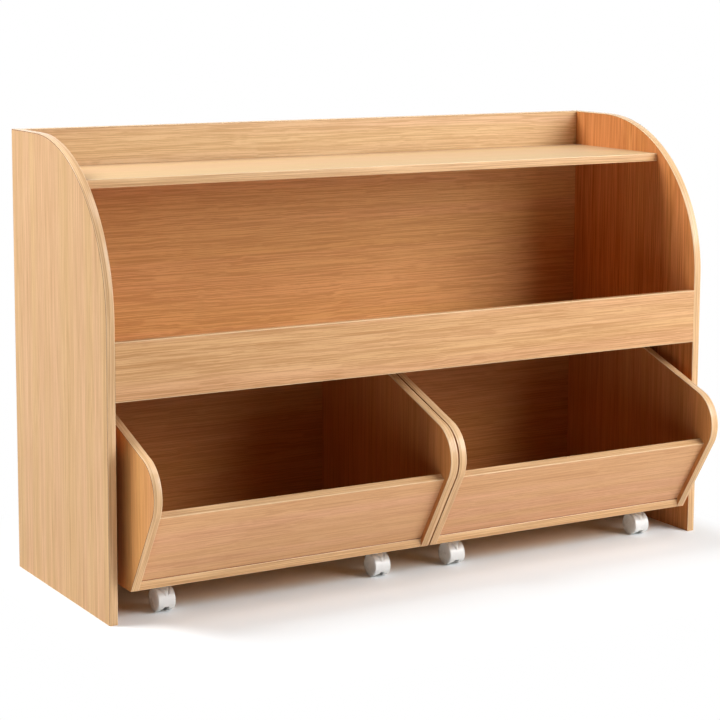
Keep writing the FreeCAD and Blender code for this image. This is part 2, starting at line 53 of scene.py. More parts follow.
# camera, solved from the cabinet's edges in the photograph
cameraSet = {"lens": 103.1, "yaw": 30.446, "pitch": 8.028, "roll": 0.293,
             "place": (-1.5666, -2.5875, 0.8543), "shiftX": 0.003, "shiftY": -0.12,
             "sensor": 36}


def addCamera(s):
    yaw, pitch, roll = (math.radians(s[key]) for key in ("yaw", "pitch", "roll"))
    forward = np.array([math.sin(yaw) * math.cos(pitch), math.cos(yaw) * math.cos(pitch),
                        -math.sin(pitch)])
    right = np.array([math.cos(yaw), -math.sin(yaw), 0.0])
    up = np.cross(right, forward)
    turnedRight = right * math.cos(roll) + up * math.sin(roll)
    turnedUp = -right * math.sin(roll) + up * math.cos(roll)
    data = bpy.data.cameras.new("photoCamera")
    data.lens = s["lens"]
    data.sensor_width = s["sensor"]
    data.shift_x = s["shiftX"]
    data.shift_y = s["shiftY"]
    camera = bpy.data.objects.new("photoCamera", data)
    bpy.context.scene.collection.objects.link(camera)
    turned = np.eye(4)
    turned[:3, 0], turned[:3, 1], turned[:3, 2] = turnedRight, turnedUp, -forward
    turned[:3, 3] = s["place"]
    camera.matrix_world = Matrix(turned.tolist())
    bpy.context.scene.camera = camera


addCamera(cameraSet)

# soft boxes: azimuth 0 is the front and 90 the right side, elevation is from the floor, in
# degrees; all look at one target from one distance
lightSet = {
    "frontRight": {"azimuth": 41, "elevation": 28, "size": 1.8, "power": 85},
    "leftRear": {"azimuth": -118, "elevation": 48, "size": 1.6, "power": 120},
    "lowFront": {"azimuth": 36, "elevation": 9, "size": 1.6, "power": 18},
    "glint": {"azimuth": 43, "elevation": 67, "size": 0.9, "power": 16},
}
aimSet = {"target": (0, 0, 0.3), "distance": 3.2}
worldSet = {"ambient": 0.015, "ambientTint": (1.0, 0.80, 0.60, 1.0)}


def addLights(lights, aim):
    for name, s in lights.items():
        azimuth, elevation = math.radians(s["azimuth"]), math.radians(s["elevation"])
        toLight = np.array([math.sin(azimuth) * math.cos(elevation),
                            -math.cos(azimuth) * math.cos(elevation), math.sin(elevation)])
        data = bpy.data.lights.new(name, "AREA")
        data.shape = "SQUARE"
        data.size = s["size"]
        data.energy = s["power"]
        lamp = bpy.data.objects.new(name, data)
        bpy.context.scene.collection.objects.link(lamp)
        side = np.cross([0, 0, 1], toLight)
        side /= np.linalg.norm(side)
        aimed = np.eye(4)
        aimed[:3, 0], aimed[:3, 1], aimed[:3, 2] = side, np.cross(toLight, side), toLight
        aimed[:3, 3] = np.array(aim["target"]) + toLight * aim["distance"]
        lamp.matrix_world = Matrix(aimed.tolist())


# node helpers
def setInputs(tree, node, values):
    # a socket is linked, and anything else is set
    for key, value in values.items():
        if isinstance(value, bpy.types.NodeSocket):
            tree.links.new(value, node.inputs[key])
        else:
            node.inputs[key].default_value = value


def addNode(tree, kind, values=None, **settings):
    node = tree.nodes.new("ShaderNode" + kind)
    for key, setting in settings.items():
        setattr(node, key, setting)
    setInputs(tree, node, values or {})
    return node


def calc(tree, operation, first, second=0.0, third=0.0):
    node = addNode(tree, "Math", {0: first, 1: second, 2: third}, operation=operation)
    return node.outputs[0]


def calcVector(tree, operation, first, second=(0, 0, 0)):
    return addNode(tree, "VectorMath", {0: first, 1: second}, operation=operation)


def spread(tree, value, low, high, toLow=0.0, toHigh=1.0):
    node = addNode(tree, "MapRange", {"Value": value, "From Min": low, "From Max": high,
                                      "To Min": toLow, "To Max": toHigh},
                   interpolation_type="SMOOTHSTEP")
    return node.outputs[0]


def blendColour(tree, amount, first, second, blend="MIX"):
    # a Mix node's colour sockets share their names with its others, so they go by number
    node = addNode(tree, "Mix", {0: amount, 6: first, 7: second}, data_type="RGBA",
                   blend_type=blend)
    return node.outputs[2]


def noise(tree, vector, scale, detail=2.0, rough=0.5):
    # scale is one number, or three that stretch the pattern
    if isinstance(scale, tuple):
        vector, scale = calcVector(tree, "MULTIPLY", vector, scale).outputs[0], 1.0
    node = addNode(tree, "TexNoise", {"Vector": vector, "Scale": scale, "Detail": detail,
                                      "Roughness": rough})
    return node.outputs["Fac"]


def newGroup(name, inputs, outputs):
    group = bpy.data.node_groups.new(name, "ShaderNodeTree")
    for label, kind, value in inputs:
        socket = group.interface.new_socket(name=label, in_out="INPUT",
                                            socket_type="NodeSocket" + kind)
        socket.default_value = value
    for label, kind in outputs:
        group.interface.new_socket(name=label, in_out="OUTPUT", socket_type="NodeSocket" + kind)
    return group, group.nodes.new("NodeGroupInput"), group.nodes.new("NodeGroupOutput")


def useGroup(tree, group, values):
    node = tree.nodes.new("ShaderNodeGroup")
    node.node_tree = group
    setInputs(tree, node, values)
    return node


def newMaterial(name):
    material = bpy.data.materials.new(name)
    material.use_nodes = True
    tree = material.node_tree
    tree.nodes.clear()
    shader = tree.nodes.new("ShaderNodeBsdfPrincipled")
    end = tree.nodes.new("ShaderNodeOutputMaterial")
    tree.links.new(shader.outputs[0], end.inputs["Surface"])
    return material, tree, shader


# world and floor: white to the camera, a quiet fill to the object
def seenDirectly(tree):
    # one on camera, glossy and transmission rays, so that metal shows the white too
    path = tree.nodes.new("ShaderNodeLightPath")
    direct = calc(tree, "MAXIMUM", path.outputs["Is Camera Ray"], path.outputs["Is Glossy Ray"])
    return calc(tree, "MAXIMUM", direct, path.outputs["Is Transmission Ray"])


def addWorld(s):
    world = bpy.data.worlds.new("studio")
    world.use_nodes = True
    bpy.context.scene.world = world
    tree = world.node_tree
    tree.nodes.clear()
    seen = seenDirectly(tree)
    quiet = addNode(tree, "Background", {"Color": s["ambientTint"], "Strength": s["ambient"]})
    white = addNode(tree, "Background", {"Color": (1, 1, 1, 1), "Strength": 1.0})
    mixed = addNode(tree, "MixShader", {0: seen, 1: quiet.outputs[0], 2: white.outputs[0]})
    end = tree.nodes.new("ShaderNodeOutputWorld")
    tree.links.new(mixed.outputs[0], end.inputs["Surface"])


# the floor's colour under the footprint is a painted warm shade
floorSet = {"half": 9.0, "colour": (0.95, 0.98, 1.0, 1), "paintedShadeUnder": (1.0, 0.85, 0.70, 1),
            "bounce": (0.88, 0.86, 0.82, 1), "footprint": (0.485, 0.05, 0), "hurry": (5, 1, 1),
            "paintedShadeTo": 0.05, "fadeTo": 0.43}


def addFloor(s):
    half = s["half"]
    mesh = bpy.data.meshes.new("floor")
    mesh.from_pydata([(-half, -half, 0), (half, -half, 0), (half, half, 0), (-half, half, 0)],
                     [], [(0, 1, 2, 3)])
    floor = bpy.data.objects.new("floor", mesh)
    bpy.context.scene.collection.objects.link(floor)
    material = bpy.data.materials.new("paleFloor")
    material.use_nodes = True
    tree = material.node_tree
    tree.nodes.clear()
    seen = seenDirectly(tree)
    # the white grows with the distance from the object's footprint, and the footprint gets a
    # painted warm shade; it hurries to white at both ends
    place = tree.nodes.new("ShaderNodeTexCoord")
    aside = calcVector(tree, "ABSOLUTE", place.outputs["Object"]).outputs[0]
    beyond = calcVector(tree, "SUBTRACT", aside, s["footprint"]).outputs[0]
    outside = calcVector(tree, "MAXIMUM", beyond).outputs[0]
    hurried = calcVector(tree, "MULTIPLY", outside, s["hurry"]).outputs[0]
    away = calcVector(tree, "LENGTH", hurried).outputs["Value"]
    # painted shade: a warm tint under the object's footprint, which fades out within a short
    # distance
    shown = blendColour(tree, spread(tree, away, 0.0, s["paintedShadeTo"]), s["paintedShadeUnder"], s["colour"])
    matt = addNode(tree, "BsdfDiffuse", {"Color": blendColour(tree, seen, s["bounce"], shown)})
    white = addNode(tree, "Emission", {"Color": (1, 1, 1, 1), "Strength": 1.0})
    far = spread(tree, away, 0.0, s["fadeTo"])
    mixed = addNode(tree, "MixShader", {0: calc(tree, "MULTIPLY", far, seen),
                                        1: matt.outputs[0], 2: white.outputs[0]})
    end = tree.nodes.new("ShaderNodeOutputMaterial")
    tree.links.new(mixed.outputs[0], end.inputs["Surface"])
    mesh.materials.append(material)


addLights(lightSet, aimSet)
addWorld(worldSet)
addFloor(floorSet)
print("studio ready")


# shared effects
# layers of the oak print: noise scales along and across the grain, detail, roughness, and the
# part of the noise that is spread over 0 to 1
grainSet = {"broad": ((0.8, 30, 30), 3.0, 0.55, 0.36, 0.64),
            "hue": ((0.6, 34, 34), 1.0, 0.5, 0.38, 0.62),
            "streaks": ((3.0, 130, 130), 2.0, 0.7, 0.37, 0.63),
            "hairs": ((7, 680, 680), 1.0, 0.7, 0.37, 0.63),
            "lines": ((4.0, 90, 90), 3.0, 0.75, 0.54, 0.62),
            "pores": ((150, 2600, 2600), 1.0, 0.5, 0.60, 0.72)}
# scales of the two bends, shares of the layers in the tone and the height, and the gloss
printSet = {"slow": (2.4, 9, 9), "quick": (42, 34, 34), "hueShare": 0.7, "lineShare": 0.26,
            "streakShare": 0.36, "poreShare": 0.22, "hairHeight": 0.35, "roughness": 0.40,
            "lineRoughness": 0.06}


def makeOakGrain():
    # printed oak, X along the grain: layers of noise stretched along X and bent sideways by a
    # slow sway and a quick ripple. Broad bands shift the tone and the hue, streaks, lines and
    # hairs darken it, and pores are short dashes
    group, start, end = newGroup(
        "oakGrain",
        [("Vector", "Vector", (0, 0, 0)), ("Light", "Color", (1, 1, 1, 1)),
         ("Middle", "Color", (1, 1, 1, 1)), ("Dark", "Color", (1, 1, 1, 1)),
         ("Rosy", "Color", (1, 1, 1, 1)), ("Sway", "Float", 0.006), ("Ripple", "Float", 0.002),
         ("Streaks", "Float", 0.5), ("Hairs", "Float", 0.5), ("Bands", "Float", 0.5),
         ("Tone", "Color", (1, 1, 1, 1))],
        [("Color", "Color"), ("Height", "Float"), ("Roughness", "Float")])
    vector = start.outputs["Vector"]
    slow = calc(group, "SUBTRACT", noise(group, vector, printSet["slow"], 2.0), 0.5)
    quick = calc(group, "SUBTRACT", noise(group, vector, printSet["quick"], 1.0), 0.5)
    shifted = calc(group, "MULTIPLY_ADD", quick, start.outputs["Ripple"],
                   calc(group, "MULTIPLY", slow, start.outputs["Sway"]))
    moved = addNode(group, "CombineXYZ", {"Y": shifted, "Z": shifted}).outputs[0]
    swayed = calcVector(group, "ADD", vector, moved).outputs[0]
    layer = {name: spread(group, noise(group, swayed, scale, detail, rough), low, high)
             for name, (scale, detail, rough, low, high) in grainSet.items()}
    tone = blendColour(group, calc(group, "MULTIPLY", layer["broad"], start.outputs["Bands"]),
                       start.outputs["Middle"], start.outputs["Light"])
    tone = blendColour(group, calc(group, "MULTIPLY", layer["hue"], printSet["hueShare"]), tone,
                       start.outputs["Rosy"])
    wide = calc(group, "MULTIPLY_ADD", layer["lines"], printSet["lineShare"],
                calc(group, "MULTIPLY", layer["streaks"], printSet["streakShare"]))
    fine = calc(group, "MULTIPLY_ADD", layer["hairs"], start.outputs["Hairs"],
                calc(group, "MULTIPLY", wide, start.outputs["Streaks"]))
    tone = blendColour(group, fine, tone, start.outputs["Dark"])
    tone = blendColour(group, calc(group, "MULTIPLY", layer["pores"], printSet["poreShare"]),
                       tone, start.outputs["Dark"])
    tone = blendColour(group, 1.0, tone, start.outputs["Tone"], "MULTIPLY")
    raised = calc(group, "MULTIPLY", layer["hairs"], printSet["hairHeight"])
    height = calc(group, "SUBTRACT", raised, layer["pores"])
    gloss = calc(group, "MULTIPLY_ADD", fine, printSet["lineRoughness"], printSet["roughness"])
    group.links.new(tone, end.inputs["Color"])
    group.links.new(height, end.inputs["Height"])
    group.links.new(gloss, end.inputs["Roughness"])
    return group


# chipboard: the range of the facing that turns from edge to face, scales, tones, and what it
# adds to a board's roughness and height
coreSet = {"edge": 0.25, "face": 0.6, "chips": 420.0, "dust": 1800.0, "dustShare": 0.4,
           "dark": (0.35, 0.205, 0.105, 1), "light": (0.68, 0.47, 0.29, 1), "rougher": 0.4,
           "height": 6.0}


def makeBareCore():
    # chipboard where a board's edge has no band: the mask is one where the normal leaves Face
    group, start, end = newGroup(
        "bareCore",
        [("Vector", "Vector", (0, 0, 0)), ("Normal", "Vector", (0, 0, 1)),
         ("Face", "Vector", (0, 0, 1))],
        [("Color", "Color"), ("Mask", "Float"), ("Height", "Float")])
    along = calcVector(group, "DOT_PRODUCT", start.outputs["Normal"],
                       start.outputs["Face"]).outputs["Value"]
    mask = spread(group, calc(group, "ABSOLUTE", along), coreSet["edge"], coreSet["face"], 1.0, 0.0)
    chips = addNode(group, "TexVoronoi", {"Vector": start.outputs["Vector"],
                                          "Scale": coreSet["chips"]})
    shade = addNode(group, "SeparateColor", {0: chips.outputs["Color"]}).outputs[0]
    dust = noise(group, start.outputs["Vector"], coreSet["dust"], 2.0)
    mixed = calc(group, "MULTIPLY_ADD", dust, coreSet["dustShare"],
                 calc(group, "MULTIPLY", shade, 1 - coreSet["dustShare"]))
    colour = blendColour(group, mixed, coreSet["dark"], coreSet["light"])
    group.links.new(colour, end.inputs["Color"])
    group.links.new(mask, end.inputs["Mask"])
    group.links.new(mixed, end.inputs["Height"])
    return group


# scales of the marks, the wipes' share, and the amount on each material
marksSet = {"clouds": 7.0, "wipes": (60, 9, 60), "wipeShare": 0.4, "board": 0.12, "band": 0.10,
            "plastic": 0.16, "zinc": 0.2}


def makeHandling():
    # faint cloudy marks of cleaning cloths and hands, which change the gloss a little
    group, start, end = newGroup("handlingMarks",
                                 [("Vector", "Vector", (0, 0, 0)), ("Amount", "Float", 0.05)],
                                 [("Roughness", "Float")])
    clouds = noise(group, start.outputs["Vector"], marksSet["clouds"], 4.0, 0.6)
    wipes = noise(group, start.outputs["Vector"], marksSet["wipes"], 2.0)
    both = calc(group, "MULTIPLY_ADD", wipes, marksSet["wipeShare"],
                calc(group, "MULTIPLY", clouds, 1 - marksSet["wipeShare"]))
    change = calc(group, "MULTIPLY", calc(group, "SUBTRACT", both, 0.5), start.outputs["Amount"])
    group.links.new(change, end.inputs["Roughness"])
    return group


oakGrain = makeOakGrain()
bareCore = makeBareCore()
handlingMarks = makeHandling()

# colours are linear; a board's pattern is turned so that its X runs along the grain
oakColours = {"Light": (0.80, 0.53, 0.272, 1), "Middle": (0.735, 0.463, 0.221, 1),
              "Dark": (0.42, 0.197, 0.062, 1), "Rosy": (0.775, 0.468, 0.26, 1)}
# painted light: two entries set the facing at which the lit tone starts and is whole, and its share
# on the back panel's rear face
oakSet = {"sway": 0.012, "rippleUp": 0.0, "rippleAcross": 0.0014, "bump": 0.00004,
          "strength": 0.6, "shine": 0.12, "paintedLitAt": (0.2, 0.7), "rearPaintedLit": 0.5,
          "shift": (1.7, 0.93, 0.61)}
# painted light and shade: faces towards the room get a paler, lit tone, and inner faces a darker,
# richer painted shade; each row is (lit tone, shaded tone, hairs, streaks, bands), where hairs and
# streaks are the strengths of the fine and the broad lines, and bands is the drift of the tone
paintedLightTones = {
    "side": ((0.98, 1.0, 1.03, 1), (0.94, 0.66, 0.43, 1), 0.30, 0.50, 0.4),
    "farSide": ((0.98, 1.0, 1.03, 1), (0.95, 0.64, 0.43, 1), 0.52, 0.65, 0.5),
    "front": ((0.97, 0.895, 0.985, 1), (0.95, 0.80, 0.55, 1), 0.28, 0.32, 0.3),
    "rail": ((0.92, 0.86, 0.86, 1), (0.95, 0.80, 0.55, 1), 0.42, 0.42, 0.5),
    "back": ((1.06, 1.18, 1.36, 1), (1.01, 0.885, 0.705, 1), 0.46, 0.08, 0.3),
    "shelf": ((0.84, 0.93, 1.02, 1), (1.0, 0.92, 0.74, 1), 0.16, 0.14, 0.2),
    "bin": ((1.0, 0.80, 0.58, 1), (0.82, 0.57, 0.40, 1), 0.3, 0.5, 0.4),
    "deep": ((0.95, 0.90, 0.80, 1), (0.81, 0.59, 0.38, 1), 0.4, 0.4, 0.4),
}


def boardMaterial(name, grain, face, seed, outward, tone, paintedLitAbove=None):
    # the grain runs along X or Z, and the flat faces look along face: X, Y, Z or a direction;
    # outward is the way the board's face with the painted lit tone looks, and seed shifts the
    # pattern
    material, tree, shader = newMaterial(name)
    place = tree.nodes.new("ShaderNodeTexCoord")
    turn = {"X": (0, 0, 0), "Z": (0, math.radians(90), 0)}[grain]
    turned = addNode(tree, "Mapping", {"Vector": place.outputs["Object"], "Rotation": turn,
                                       "Location": [seed * step for step in oakSet["shift"]]})
    looks = calcVector(tree, "DOT_PRODUCT", place.outputs["Normal"], outward).outputs["Value"]
    # painted light and shade: faces turned outward take the lit tone, the others the painted shade
    paintedLitShare = spread(tree, looks, *oakSet["paintedLitAt"])
    if paintedLitAbove:
        # painted light: the inner face gets the lit tone above this height only, and the outer face
        # in part
        height = addNode(tree, "SeparateXYZ", {0: place.outputs["Object"]}).outputs["Z"]
        above = calc(tree, "GREATER_THAN", height, paintedLitAbove)
        paintedLitShare = calc(tree, "MULTIPLY_ADD", calc(tree, "SUBTRACT", 1.0, paintedLitShare), above,
                     calc(tree, "MULTIPLY", paintedLitShare, oakSet["rearPaintedLit"]))
    # the painted lit tone and the painted shade tone of this board
    paintedLitTone, paintedShadeTone, hairs, streaks, bands = paintedLightTones[tone]
    toned = blendColour(tree, paintedLitShare, paintedShadeTone, paintedLitTone)
    ripple = oakSet["rippleUp" if grain == "Z" else "rippleAcross"]
    oak = useGroup(tree, oakGrain, {"Vector": turned.outputs[0], **oakColours,
                                    "Sway": oakSet["sway"], "Ripple": ripple, "Hairs": hairs,
                                    "Streaks": streaks, "Bands": bands, "Tone": toned})
    faceWay = {"X": (1, 0, 0), "Y": (0, 1, 0), "Z": (0, 0, 1)}.get(face, face)
    core = useGroup(tree, bareCore, {"Vector": place.outputs["Object"],
                                     "Normal": place.outputs["Normal"], "Face": faceWay})
    marks = useGroup(tree, handlingMarks, {"Vector": place.outputs["Object"],
                                           "Amount": marksSet["board"]})
    colour = blendColour(tree, core.outputs["Mask"], oak.outputs["Color"], core.outputs["Color"])
    tree.links.new(colour, shader.inputs["Base Color"])
    gloss = calc(tree, "ADD", oak.outputs["Roughness"], marks.outputs["Roughness"])
    gloss = calc(tree, "MULTIPLY_ADD", core.outputs["Mask"], coreSet["rougher"], gloss)
    tree.links.new(gloss, shader.inputs["Roughness"])
    rough = calc(tree, "MULTIPLY", core.outputs["Height"], core.outputs["Mask"])
    height = calc(tree, "MULTIPLY_ADD", rough, coreSet["height"], oak.outputs["Height"])
    bump = addNode(tree, "Bump", {"Height": height, "Distance": oakSet["bump"],
                                  "Strength": oakSet["strength"]})
    tree.links.new(bump.outputs[0], shader.inputs["Normal"])
    shader.inputs["Specular IOR Level"].default_value = oakSet["shine"]
    return material


# strip tints the straight bands; round is the section's length in metres, and the rim's painted
# highlight and the glue line start and end at a distance in V from the outer side's middle
bandPrint = {"Light": (0.83, 0.61, 0.36, 1), "Middle": (0.77, 0.51, 0.275, 1),
             "Dark": (0.44, 0.225, 0.085, 1), "Rosy": (0.78, 0.51, 0.295, 1), "Sway": 0.002,
             "Ripple": 0.0, "Streaks": 0.5, "Hairs": 0.5, "Bands": 0.4}
bandSet = {"rim": (0.95, 0.80, 0.54, 1), "glue": (0.26, 0.095, 0.03, 1),
           "strip": (0.96, 0.91, 0.86, 1), "shine": 0.28, "polish": 0.22, "round": 0.026,
           "rimAt": (0.185, 0.215), "paintedHighlightShare": 0.5, "glueAt": (0.214, 0.226), "bump": 0.00003,
           "strength": 0.5}


def bandMaterial():
    # UV map bandRun: U runs along the band in metres, V goes round its section from 0 to 1
    material, tree, shader = newMaterial("oakEdgeBand")
    run = addNode(tree, "UVMap", uv_map="bandRun").outputs[0]
    parts = addNode(tree, "SeparateXYZ", {0: run})
    across = calc(tree, "MULTIPLY", parts.outputs["Y"], bandSet["round"])
    flat = addNode(tree, "CombineXYZ", {"X": parts.outputs["X"], "Y": across}).outputs[0]
    oak = useGroup(tree, oakGrain, {"Vector": flat, **bandPrint})
    marks = useGroup(tree, handlingMarks, {"Vector": flat, "Amount": marksSet["band"]})
    # V: 0 to 0.5 is the hidden inner side, 0.5 to 1 the outer side with both rims. Whole twos
    # are added: 0 for a glue line along the left rim, 2 the right rim, 4 none, 6 a dark corner bead
    kind = calc(tree, "FLOOR", calc(tree, "MULTIPLY", parts.outputs["Y"], 0.5))
    away = calc(tree, "SUBTRACT", calc(tree, "MULTIPLY_ADD", kind, -2.0, parts.outputs["Y"]), 0.75)
    aside = calc(tree, "ABSOLUTE", away)
    onLeft = calc(tree, "MULTIPLY", calc(tree, "LESS_THAN", kind, 0.5),
                  calc(tree, "LESS_THAN", away, 0.0))
    onRight = calc(tree, "MULTIPLY", calc(tree, "COMPARE", kind, 1.0, 0.1),
                   calc(tree, "GREATER_THAN", away, 0.0))
    glued = calc(tree, "ADD", onLeft, onRight)
    bead = calc(tree, "GREATER_THAN", kind, 2.5)
    # painted highlight: the rims are paler, standing in for light catching the rounded edges
    rim = spread(tree, aside, *bandSet["rimAt"])
    glue = calc(tree, "MULTIPLY", spread(tree, aside, *bandSet["glueAt"]), glued)
    colour = blendColour(tree, calc(tree, "MULTIPLY", rim, bandSet["paintedHighlightShare"]),
                         oak.outputs["Color"], bandSet["rim"])
    toned = blendColour(tree, calc(tree, "COMPARE", kind, 2.0, 0.1), (1, 1, 1, 1),
                        bandSet["strip"])
    colour = blendColour(tree, 1.0, colour, toned, "MULTIPLY")
    colour = blendColour(tree, calc(tree, "MAXIMUM", glue, bead), colour, bandSet["glue"])
    tree.links.new(colour, shader.inputs["Base Color"])
    gloss = calc(tree, "ADD", oak.outputs["Roughness"], marks.outputs["Roughness"])
    gloss = calc(tree, "SUBTRACT", gloss, bandSet["polish"])
    tree.links.new(gloss, shader.inputs["Roughness"])
    bump = addNode(tree, "Bump", {"Height": oak.outputs["Height"], "Distance": bandSet["bump"],
                                  "Strength": bandSet["strength"]})
    tree.links.new(bump.outputs[0], shader.inputs["Normal"])
    shader.inputs["Specular IOR Level"].default_value = bandSet["shine"]
    return material


plasticSet = {"colour": (0.88, 0.90, 0.91, 1), "shade": (0.83, 0.85, 0.86, 1),
              "roughness": 0.22, "flow": 90.0, "flowRoughness": 0.08, "skin": 700.0,
              "bump": 0.00002, "strength": 0.4, "ior": 1.53}


def plasticMaterial():
    material, tree, shader = newMaterial("whiteNylon")
    place = tree.nodes.new("ShaderNodeTexCoord").outputs["Object"]
    marks = useGroup(tree, handlingMarks, {"Vector": place, "Amount": marksSet["plastic"]})
    flow = noise(tree, place, plasticSet["flow"], 3.0)
    tree.links.new(blendColour(tree, flow, plasticSet["shade"], plasticSet["colour"]),
                   shader.inputs["Base Color"])
    gloss = calc(tree, "ADD", marks.outputs["Roughness"], plasticSet["roughness"])
    tree.links.new(calc(tree, "MULTIPLY_ADD", flow, plasticSet["flowRoughness"], gloss),
                   shader.inputs["Roughness"])
    bump = addNode(tree, "Bump", {"Height": noise(tree, place, plasticSet["skin"], 2.0),
                                  "Distance": plasticSet["bump"],
                                  "Strength": plasticSet["strength"]})
    tree.links.new(bump.outputs[0], shader.inputs["Normal"])
    shader.inputs["IOR"].default_value = plasticSet["ior"]
    return material


# light, dark and roughness of each zinc; spangle and cloud are scales, mixed half and half
zincSet = {"zincPlate": ((0.74, 0.75, 0.76, 1), (0.55, 0.56, 0.57, 1), 0.28),
           "castZinc": ((0.60, 0.60, 0.58, 1), (0.40, 0.40, 0.39, 1), 0.42),
           "spangle": 700.0, "cloud": 120.0, "rougher": 0.12}


def zincMaterial(name):
    light, dark, roughness = zincSet[name]
    material, tree, shader = newMaterial(name)
    place = tree.nodes.new("ShaderNodeTexCoord").outputs["Object"]
    marks = useGroup(tree, handlingMarks, {"Vector": place, "Amount": marksSet["zinc"]})
    spangle = addNode(tree, "TexVoronoi", {"Vector": place, "Scale": zincSet["spangle"]})
    shade = addNode(tree, "SeparateColor", {0: spangle.outputs["Color"]}).outputs[0]
    cloud = noise(tree, place, zincSet["cloud"])
    mixed = calc(tree, "MULTIPLY_ADD", shade, 0.5, calc(tree, "MULTIPLY", cloud, 0.5))
    tree.links.new(blendColour(tree, mixed, dark, light), shader.inputs["Base Color"])
    gloss = calc(tree, "MULTIPLY_ADD", mixed, zincSet["rougher"], roughness)
    tree.links.new(calc(tree, "ADD", gloss, marks.outputs["Roughness"]),
                   shader.inputs["Roughness"])
    shader.inputs["Metallic"].default_value = 1.0
    return material


beechPrint = {"Light": (0.72, 0.53, 0.34, 1), "Middle": (0.66, 0.46, 0.28, 1),
              "Dark": (0.45, 0.27, 0.14, 1), "Rosy": (0.68, 0.47, 0.29, 1), "Sway": 0.001,
              "Ripple": 0.0, "Streaks": 0.5, "Bands": 0.5}
beechRougher = 0.2


def beechMaterial():
    material, tree, shader = newMaterial("beechDowel")
    place = tree.nodes.new("ShaderNodeTexCoord").outputs["Object"]
    beech = useGroup(tree, oakGrain, {"Vector": place, **beechPrint})
    tree.links.new(beech.outputs["Color"], shader.inputs["Base Color"])
    tree.links.new(calc(tree, "ADD", beech.outputs["Roughness"], beechRougher),
                   shader.inputs["Roughness"])
    return material


edgeBand = bandMaterial()
whiteNylon = plasticMaterial()
zincPlate = zincMaterial("zincPlate")
castZinc = zincMaterial("castZinc")
beechDowel = beechMaterial()
print("materials ready")


# mesh helpers
def gridQuads(rows, columns, start):
    index = np.arange(rows * columns).reshape(rows, columns) + start
    return np.stack([index[:-1, :-1], index[1:, :-1], index[1:, 1:], index[:-1, 1:]],
                    axis=-1).reshape(-1, 4)


def turnOutward(work):
    # recalculated normals agree within a shell; a shell of negative volume is turned round
    waiting = set(work.faces)
    for first in work.faces:
        if first not in waiting:
            continue
        waiting.remove(first)
        shell = [first]
        for face in shell:
            for edge in face.edges:
                beside = [other for other in edge.link_faces if other in waiting]
                waiting.difference_update(beside)
                shell.extend(beside)
        volume = sum(face.calc_center_median().dot(face.normal) * face.calc_area()
                     for face in shell)
        if volume < 0:
            bmesh.ops.reverse_faces(work, faces=shell)


weldSet = {"points": 2e-6, "edges": 1e-7}


def makePiece(name, surfaces, material, body, replaced=(), sharp=35, uvName=None):
    # surfaces are grids of points (rows, columns, 3), or pairs of such a grid and its UV grid;
    # seams and poles are points that coincide, and are welded here; sharp is in degrees
    points, quads, corners, start = [], [], [], 0
    for surface in surfaces:
        grid, uv = surface if isinstance(surface, tuple) else (surface, None)
        rows, columns = grid.shape[:2]
        points.append(grid.reshape(-1, 3))
        faces = gridQuads(rows, columns, start)
        quads.append(faces)
        flatUv = np.zeros((rows * columns, 2)) if uv is None else uv.reshape(-1, 2)
        corners.append(flatUv[(faces - start).ravel()])
        start += rows * columns
    mesh = bpy.data.meshes.new(name)
    mesh.from_pydata(np.concatenate(points).tolist(), [], np.concatenate(quads).tolist())
    if uvName:
        layer = mesh.uv_layers.new(name=uvName)
        layer.uv.foreach_set("vector", np.concatenate(corners).astype(np.float32).ravel())
    work = bmesh.new()
    work.from_mesh(mesh)
    bmesh.ops.remove_doubles(work, verts=work.verts, dist=weldSet["points"])
    bmesh.ops.dissolve_degenerate(work, edges=work.edges, dist=weldSet["edges"])
    bmesh.ops.recalc_face_normals(work, faces=work.faces)
    turnOutward(work)
    work.to_mesh(mesh)
    work.free()
    mesh.polygons.foreach_set("use_smooth", [True] * len(mesh.polygons))
    mesh.set_sharp_from_angle(angle=math.radians(sharp))
    mesh.materials.append(material)
    piece = bpy.data.objects.new(name, mesh)
    bpy.context.scene.collection.objects.link(piece)
    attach(piece, body)
    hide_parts(*replaced)


def closeEnds(rings):
    # adds a first and a last row drawn to the ring's middle, so that a sweep is closed
    first = np.repeat(rings[:1].mean(axis=1, keepdims=True), rings.shape[1], axis=1)
    last = np.repeat(rings[-1:].mean(axis=1, keepdims=True), rings.shape[1], axis=1)
    return np.concatenate([first, rings, last])


def bandSection(width, thick, radius, steps=5):
    # closed outline (across, depth): hidden inner side first, then the outer side, rims rounded
    half = width / 2
    angle = np.linspace(0, math.pi / 2, steps)
    left = np.stack([-half + radius - radius * np.cos(angle), radius - radius * np.sin(angle)],
                    axis=1)
    right = left[::-1] * [-1, 1]
    inner = np.array([[half, thick], [half * 0.33, thick], [-half * 0.33, thick], [-half, thick]])
    outer = np.concatenate([[[-half, thick]], left, [[0, 0]], right, [[half, thick]]])
    return inner, outer


bandKinds = {"glueLeft": 0, "glueRight": 2, "clean": 4, "bead": 6}


def sweepBand(path, outward, acrossWay, width, thick, radius, kind="clean"):
    # the section carried along the path: point = path + across * acrossWay - depth * outward
    inner, outer = bandSection(width, thick, radius)
    section = np.concatenate([inner, outer[1:]])
    reach = np.linalg.norm(np.diff(section, axis=0), axis=1)
    reach = np.concatenate([[0], np.cumsum(reach)])
    split = reach[len(inner) - 1]
    around = np.where(reach <= split, 0.5 * reach / split,
                      0.5 + 0.5 * (reach - split) / (reach[-1] - split))
    grid = (path[:, None, :] + section[None, :, 0, None] * np.array(acrossWay)
            - section[None, :, 1, None] * outward[:, None, :])
    run = np.concatenate([[0], np.cumsum(np.linalg.norm(np.diff(path, axis=0), axis=1))])
    run = np.concatenate([run[:1], run, run[-1:]])
    uv = np.stack(np.meshgrid(run, around + bandKinds[kind], indexing="ij"), axis=-1)
    return closeEnds(grid), uv


